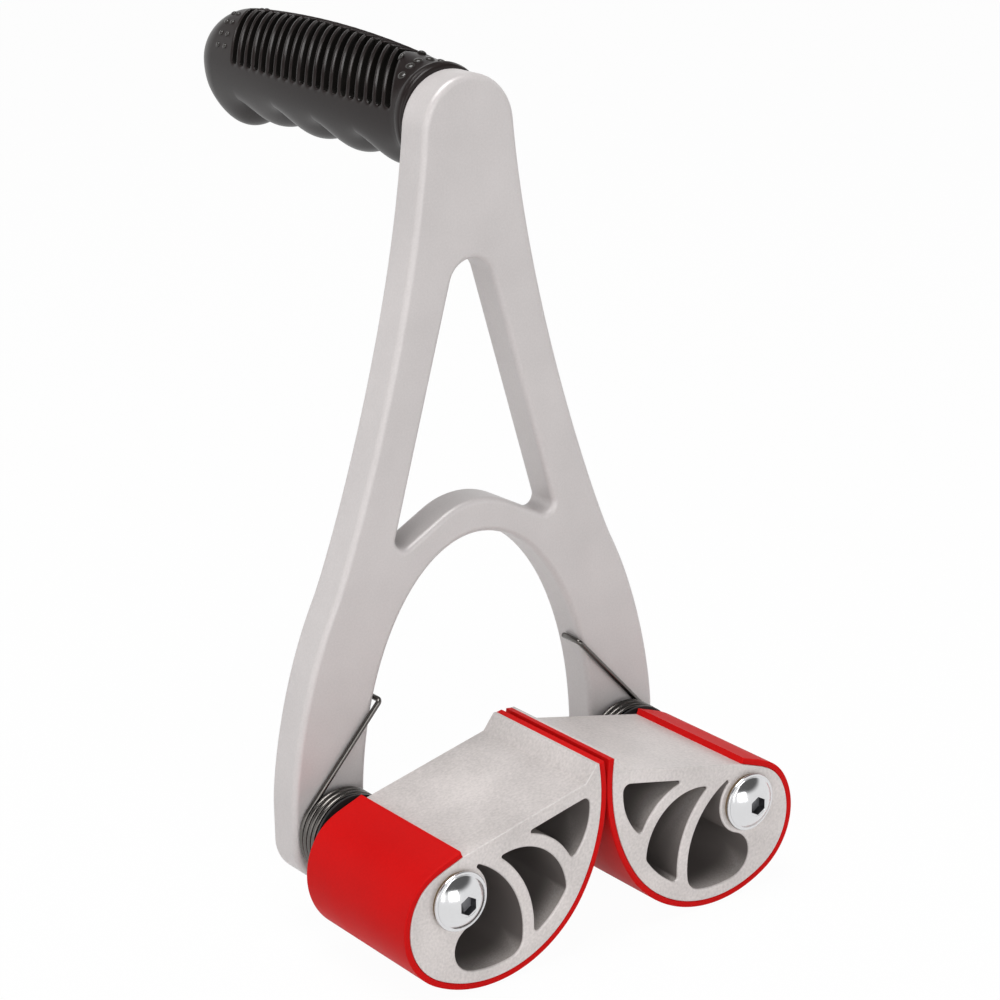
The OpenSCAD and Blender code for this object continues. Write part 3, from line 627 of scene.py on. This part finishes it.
# Pivot bolts: a polished dome with a collar and a hexagon socket
HEAD_SEAT_Y = CAM_FRONT_Y - BUSH_FLANGE_T - END_PLAY
DOME_Y = HEAD_SEAT_Y - COLLAR_T
DOME_TOP_Y = DOME_Y - DOME_H
DOME_CURVE = (DOME_R * DOME_R + DOME_H * DOME_H) / (2 * DOME_H)
BOLT_END_Y = FRAME_T - RECESS_DEPTH + WASHER_T + NUT_H + NUT_COLLAR_H + BOLT_TAIL
SOCKET_RINGS, DOME_STEPS, COLLAR_STEPS = 2, 24, 6
SOCKET_PIT_R, SOCKET_PIT_DEPTH, SOCKET_TAPER, SOCKET_BEVEL = 0.2, 0.6, 0.98, 0.35
SOCKET_MOUTH_DEPTH, MOUTH_LIP = 0.55, 0.05
DOME_RIM_W, DOME_RIM_H, DOME_SKIRT = 0.25, 0.18, 0.05
COLLAR_ROUND, BOLT_CHAMFER = 0.35, 0.8


def bolt_rings():
    socket = hexagon(SOCKET_W)
    floor_y = DOME_TOP_Y + SOCKET_DEPTH
    mouth = SOCKET_W / 2 / math.cos(math.pi / 6) + SOCKET_BEVEL
    rings = [(floor_y + SOCKET_PIT_DEPTH, SOCKET_PIT_R), (floor_y, lambda a: socket(a) * SOCKET_TAPER),
             (DOME_TOP_Y + SOCKET_MOUTH_DEPTH, socket)]

    def dome(r):
        return DOME_TOP_Y + DOME_CURVE - math.sqrt(DOME_CURVE * DOME_CURVE - r * r)

    rings.append((dome(mouth) + MOUTH_LIP, mouth - MOUTH_LIP))
    for k in range(DOME_STEPS + 1):
        r = mouth + (DOME_R - DOME_RIM_W - mouth) * k / DOME_STEPS
        rings.append((dome(r), r))
    rings.append((DOME_Y - DOME_RIM_H, DOME_R))
    rings.append((DOME_Y, DOME_R + DOME_SKIRT))
    for k in range(COLLAR_STEPS + 1):
        a = math.radians(180 * k / COLLAR_STEPS)
        rings.append((DOME_Y + COLLAR_T / 2 * (1 - math.cos(a)),
                      COLLAR_R - COLLAR_ROUND + COLLAR_ROUND * math.sin(a)))
    rings += [(HEAD_SEAT_Y, BOLT_R), (BOLT_END_Y - BOLT_CHAMFER, BOLT_R),
              (BOLT_END_Y, BOLT_R - BOLT_CHAMFER)]
    return rings


for side_name, side in SIDES.items():
    bolt = lathe(f"{side_name}_bolt_turned", bolt_rings(), (side * PIVOT_X, 0), SOCKET_RINGS)
    dress(bolt, CHROME, SHADED_SOCKET)
    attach(bolt, "carrier")
    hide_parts(f"{side_name}_pivot_bolt")

# Springs: a short leg in the cam, a coil, and a long leg that hooks round the frame
WIRE_CLEAR = WIRE_R + END_PLAY
COIL_BACK_Y = -WIRE_CLEAR
COIL_FRONT_Y = CAM_BACK_Y + BUSH_FLANGE_T + END_PLAY + THRUST_T + FLANGE_T + WIRE_CLEAR
RING_STEPS, BEND_STEPS = 60, 10


def arch_half(z):
    arch_w = LEG_X - LEG_R
    return arch_w * math.sqrt(1 - ((z - ARCH_SPRING_Z) / (ARCH_Z - ARCH_SPRING_Z)) ** 2)


def spring_route(side):
    tail_at = round_centre(BOSS_WALL, FIRST_LOW_WALL, LOBE)
    hook_at = Vector((PIVOT_X - arch_half(HOOK_Z) + WIRE_CLEAR, HOOK_Z))
    tail_turn = angle(tail_at) - math.degrees(math.acos(COIL_R / tail_at.length))
    hook_turn = angle(hook_at) + math.degrees(math.acos(COIL_R / hook_at.length))
    sweep = 360 * (COIL_TURNS + 1) + tail_turn - hook_turn
    steps = round(sweep / 360 * RING_STEPS)
    tail_dir, hook_dir = way(tail_turn - 90), way(hook_turn - 90)
    route = [(tail_at, CAM_BACK_Y - TAIL_LEN)]
    for i in range(BEND_STEPS + 1):
        a = math.radians(90 * i / BEND_STEPS)
        route.append((tail_at + tail_dir * TAIL_BEND_R * (1 - math.cos(a)),
                      COIL_FRONT_Y - TAIL_BEND_R * (1 - math.sin(a))))
    for i in range(steps + 1):
        t = i / steps
        route.append((COIL_R * way(tail_turn - sweep * t), COIL_FRONT_Y + (COIL_BACK_Y - COIL_FRONT_Y) * t))
    for i in range(BEND_STEPS + 1):
        a = math.radians(90 * i / BEND_STEPS)
        route.append((hook_at - hook_dir * WIRE_CLEAR * (1 - math.sin(a)),
                      COIL_BACK_Y + WIRE_CLEAR * (1 - math.cos(a))))
    route.append((hook_at, HOOK_LEN))
    return [Vector((-side * (p.x - PIVOT_X), y, p.y)) for p, y in route]


for side_name, side in SIDES.items():
    spring = tube(f"{side_name}_spring_wire", spring_route(side), WIRE_R)
    dress(spring, WIRE)
    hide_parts(f"{side_name}_torsion_spring")
    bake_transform(spring)

# Grip: a moulded body with leaning grooves on top, finger bumps below and a flared, rounded front
GRIP_RINGS, GRIP_SIDES, END_RINGS = 450, 200, 28
GROOVES, GROOVE_PITCH, GROOVE_FIRST, GROOVE_EDGE, RIB_ROUND = 20, 4.98, 9.3, 0.7, 0.4
RUN_FULL, RUN_FALLS = 7.2, 105.9
RIM_R = 1.6
BEAD_H, BEAD_AT, BEAD_HALF = 0.9, 3.2, 1.6
GRIP_STRAIGHT = GRIP_LEN - GRIP_END_LEN


def smooth_step(t):
    c = min(max(t, 0), 1)
    return c * c * (3 - 2 * c)


def grip_taper(u):
    return GRIP_CROWN_DROP * ((u - GRIP_CROWN_Y) / (GRIP_LEN / 2)) ** 2


def grip_flared(u):
    """The flare at the frame with its bead, less what its rounded rim takes away."""
    near = max(0, RIM_R - u)
    rim = RIM_R - math.sqrt(RIM_R * RIM_R - near * near)
    bead = BEAD_H * math.sqrt(max(0, 1 - ((u - BEAD_AT) / BEAD_HALF) ** 2))
    return GRIP_FLARE * max(0, 1 - u / GRIP_FLARE_LEN) ** 2 + bead - rim


def grip_down(u, a):
    """Depth below the axis. The finger bumps fade up the sides."""
    heel = GRIP_HEEL * smooth_step((u - HEEL_FROM) / (GRIP_STRAIGHT - HEEL_FROM))
    bump = abs(math.sin(math.pi * (u - FINGER_FIRST) / FINGER_PITCH))
    fade = smooth_step((abs(math.sin(a)) - FINGER_FROM) / (FINGER_FULL - FINGER_FROM))
    cut = FINGER_DEPTH * fade * (1 - bump)
    return GRIP_LOW_R + heel - cut + grip_flared(u)


def grip_scale(u):
    t = min(1, max(0, (u - GRIP_STRAIGHT) / GRIP_END_LEN))
    return GRIP_END_SCALE + (1 - GRIP_END_SCALE) * (1 - t * t) ** (GRIP_END_SHAPE / 2)


def ring_run(s, a):
    """How far back a ring runs at an angle: the grooves lean from the sides to the crown."""
    full = min(1, s / RUN_FULL, (GRIP_LEN - s) / (GRIP_LEN - RUN_FALLS))
    return GROOVE_RUN * (1 - abs(math.cos(a))) * full if math.sin(a) > 0 else 0


def groove_cut(s, z):
    """Depth of the grooves on a ring, at a height above the axis, with round lower ends and ribs."""
    nearest = min(max(round((s - GROOVE_FIRST) / GROOVE_PITCH), 0), GROOVES - 1)
    below = max(0, GROOVE_END_Z + GROOVE_HALF - z)
    off = math.hypot(s - GROOVE_FIRST - nearest * GROOVE_PITCH, below)
    rib_half = GROOVE_PITCH / 2 - GROOVE_HALF
    rib = RIB_ROUND * smooth_step((GROOVE_PITCH / 2 - off) / rib_half)
    return max(rib, GROOVE_DEPTH * smooth_step((GROOVE_HALF - off) / GROOVE_EDGE))


def grip_point(s, a):
    """A point of the grip's surface, and how deep a groove cuts there."""
    u = s + ring_run(s, a)
    scale = grip_scale(u)
    x = scale * (GRIP_SIDE_R - grip_taper(u) / 2 + grip_flared(u) / 2) * math.cos(a)
    up = GRIP_TOP_R - grip_taper(u) + grip_flared(u)
    z = scale * (up if math.sin(a) > 0 else grip_down(u, a)) * math.sin(a)
    cut = groove_cut(s, z)
    left = 1 - cut / math.hypot(x, z)
    return Vector((x * left, FRAME_T + u, GRIP_Z + GRIP_RISE * u / GRIP_LEN + z * left)), cut


def make_grip():
    bm = bmesh.new()
    stations = [GRIP_STRAIGHT * i / GRIP_RINGS for i in range(GRIP_RINGS + 1)]
    for i in range(1, END_RINGS + 1):
        stations.append(GRIP_STRAIGHT + GRIP_END_LEN * math.sin(math.pi / 2 * i / END_RINGS))
    turns = [-math.tau * k / GRIP_SIDES for k in range(GRIP_SIDES)]
    depth = {}
    rings = []
    for s in stations:
        ring = []
        for a in turns:
            place, cut = grip_point(s, a)
            v = bm.verts.new(MM * place)
            depth[v] = cut
            ring.append(v)
        rings.append(ring)
    for low, high in zip(rings, rings[1:]):
        for face in band(bm, low, high):
            # Faces deep in a groove take the second material, which is painted shade
            face.material_index = int(max(depth[v] for v in face.verts) > 2 * RIB_ROUND)
    bm.faces.new(rings[-1])
    bore = []
    for y in (FRAME_T, FRAME_T + GRIP_LEN - BAR_COVER):
        ways = [(math.cos(a), math.sin(a)) for a in turns]
        bore.append([bm.verts.new((MM * BAR_ROD_R * c, MM * y, MM * (GRIP_Z + BAR_ROD_R * s)))
                     for c, s in ways])
    band(bm, rings[0], bore[0])
    band(bm, bore[0], bore[1])
    bm.faces.new(bore[1])
    return add_object("grip_rubber_body", bm, sharp=60)


grip = make_grip()
dress(grip, CHARCOAL, GROOVE_SHADE)
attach(grip, "carrier")
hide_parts("handle_grip")

# Pips on both sides of the grip: a few large ones behind the flare, two rows of small ones at the rear
FRONT_PIPS = [(5.0, 128), (4.4, 112), (4.0, 98), (7.2, 104)]
REAR_PIPS = [(s, a) for s in (111.5, 116.5) for a in (110, 126, 142, 156)]
FRONT_PIP_R, FRONT_PIP_H, REAR_PIP_R, REAR_PIP_H = 1.7, 0.75, 1.05, 0.6
BESIDE, BEHIND = math.radians(1), 0.2


def make_pips():
    bm = bmesh.new()
    for pips, r, rise in ((FRONT_PIPS, FRONT_PIP_R, FRONT_PIP_H), (REAR_PIPS, REAR_PIP_R, REAR_PIP_H)):
        for s, degrees in pips:
            for turn in (math.radians(degrees), math.radians(180 - degrees)):
                place, _ = grip_point(s, turn)
                beside, _ = grip_point(s, turn + BESIDE)
                behind, _ = grip_point(s + BEHIND, turn)
                out = (behind - place).cross(beside - place).normalized()
                if out.dot(Vector((place.x, 0, place.z - GRIP_Z))) < 0:
                    out = -out
                turned = out.to_track_quat("Z", "Y").to_matrix().to_4x4()
                shape = Matrix.Diagonal((r * MM, r * MM, rise * MM, 1))
                bmesh.ops.create_uvsphere(bm, u_segments=20, v_segments=12, radius=1,
                                          matrix=Matrix.Translation(MM * place) @ turned @ shape)
    return add_object("grip_pips", bm, sharp=80)


pips = make_pips()
dress(pips, GLOSSY_PIP)
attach(pips, "carrier")

# Floor, light and camera
low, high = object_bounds()
FLOOR_HALF, FLOOR_DROP, FLOOR_WHITE = 6, 0.0005, 0.97
HORIZON_TOP, OVERHEAD_FROM, OVERHEAD = math.radians(18), math.radians(34), 0.12


def light_mix(tree, surface, white_share):
    """The camera, and what mirrors it, sees white mixed in; everything else sees the surface as it is."""
    path = tree.nodes.new("ShaderNodeLightPath")
    first = tree.nodes.new("ShaderNodeMath")
    first.operation = "MAXIMUM"
    tree.links.new(path.outputs["Is Camera Ray"], first.inputs[0])
    tree.links.new(path.outputs["Is Glossy Ray"], first.inputs[1])
    seen = tree.nodes.new("ShaderNodeMath")
    seen.operation = "MAXIMUM"
    tree.links.new(first.outputs["Value"], seen.inputs[0])
    tree.links.new(path.outputs["Is Transmission Ray"], seen.inputs[1])
    share = tree.nodes.new("ShaderNodeMath")
    share.operation = "MULTIPLY"
    share.inputs[1].default_value = white_share
    tree.links.new(seen.outputs["Value"], share.inputs[0])
    white = tree.nodes.new("ShaderNodeEmission")
    white.inputs["Strength"].default_value = 1
    mix = tree.nodes.new("ShaderNodeMixShader")
    tree.links.new(share.outputs["Value"], mix.inputs["Fac"])
    tree.links.new(surface, mix.inputs[1])
    tree.links.new(white.outputs["Emission"], mix.inputs[2])
    return mix.outputs["Shader"]


bm = bmesh.new()
bmesh.ops.create_grid(bm, x_segments=1, y_segments=1, size=FLOOR_HALF)
floor = add_object("floor", bm)
floor.location = (0, 0, low.z - FLOOR_DROP)
floor_material = bpy.data.materials.new("floor_white")
floor_material.use_nodes = True
tree = floor_material.node_tree
pale = tree.nodes["Principled BSDF"]
pale.inputs["Base Color"].default_value = (0.80, 0.80, 0.80, 1)
pale.inputs["Roughness"].default_value = 0.7
shown = light_mix(tree, pale.outputs["BSDF"], FLOOR_WHITE)
tree.links.new(shown, tree.nodes["Material Output"].inputs["Surface"])
floor.data.materials.append(floor_material)

# The room is white at the horizon and grey overhead
world = bpy.data.worlds.new("studio")
bpy.context.scene.world = world
world.use_nodes = True
tree = world.node_tree
place = tree.nodes.new("ShaderNodeTexCoord")
split = tree.nodes.new("ShaderNodeSeparateXYZ")
tree.links.new(place.outputs["Generated"], split.inputs["Vector"])
fall = tree.nodes.new("ShaderNodeMapRange")
fall.interpolation_type = "SMOOTHSTEP"
fall.inputs["From Min"].default_value = math.sin(HORIZON_TOP)
fall.inputs["From Max"].default_value = math.sin(OVERHEAD_FROM)
fall.inputs["To Min"].default_value = 1.0
fall.inputs["To Max"].default_value = OVERHEAD
tree.links.new(split.outputs["Z"], fall.inputs["Value"])
tree.links.new(fall.outputs["Result"], tree.nodes["Background"].inputs["Strength"])
tree.nodes["Background"].inputs["Color"].default_value = (1, 1, 1, 1)


def lamp(name, at, target, size, power):
    data = bpy.data.lights.new(name, "AREA")
    data.shape = "RECTANGLE"
    data.size, data.size_y = size
    data.energy = power
    obj = bpy.data.objects.new(name, data)
    obj.location = at
    obj.rotation_euler = (Vector(target) - Vector(at)).to_track_quat("-Z", "Y").to_euler()
    bpy.context.scene.collection.objects.link(obj)


MIDDLE = (0, 0, 0.1)
lamp("key", (-0.45, -1.45, 0.45), MIDDLE, (0.8, 0.8), 5.1)
lamp("left", (-1.4, -0.8, 0.5), MIDDLE, (1.0, 1.0), 2.6)
lamp("top", (-0.3, -0.1, 1.65), MIDDLE, (1.0, 1.0), 24)

# The camera's place, turn and focal length, the latter in widths of the picture
CAMERA_AT = (-0.562741, -0.773210, 0.426296)
AZIMUTH, ELEVATION, ROLL = math.radians(-36.528), math.radians(18.505), math.radians(-0.83)
FOCAL, SENSOR = 2.8987, 36.0
ahead = Vector((-math.sin(AZIMUTH) * math.cos(ELEVATION), math.cos(AZIMUTH) * math.cos(ELEVATION),
                -math.sin(ELEVATION)))
level = Vector((math.cos(AZIMUTH), math.sin(AZIMUTH), 0))
upright = level.cross(ahead)
right = math.cos(ROLL) * level + math.sin(ROLL) * upright
above = math.cos(ROLL) * upright - math.sin(ROLL) * level
camera = bpy.data.objects.new("camera", bpy.data.cameras.new("camera"))
camera.data.sensor_width = SENSOR
camera.data.sensor_fit = "HORIZONTAL"
camera.data.lens = FOCAL * SENSOR
camera.matrix_world = Matrix((
    (right.x, above.x, -ahead.x, CAMERA_AT[0]),
    (right.y, above.y, -ahead.y, CAMERA_AT[1]),
    (right.z, above.z, -ahead.z, CAMERA_AT[2]),
    (0, 0, 0, 1)))
bpy.context.scene.collection.objects.link(camera)
bpy.context.scene.camera = camera
bpy.context.scene.view_settings.view_transform = "Standard"
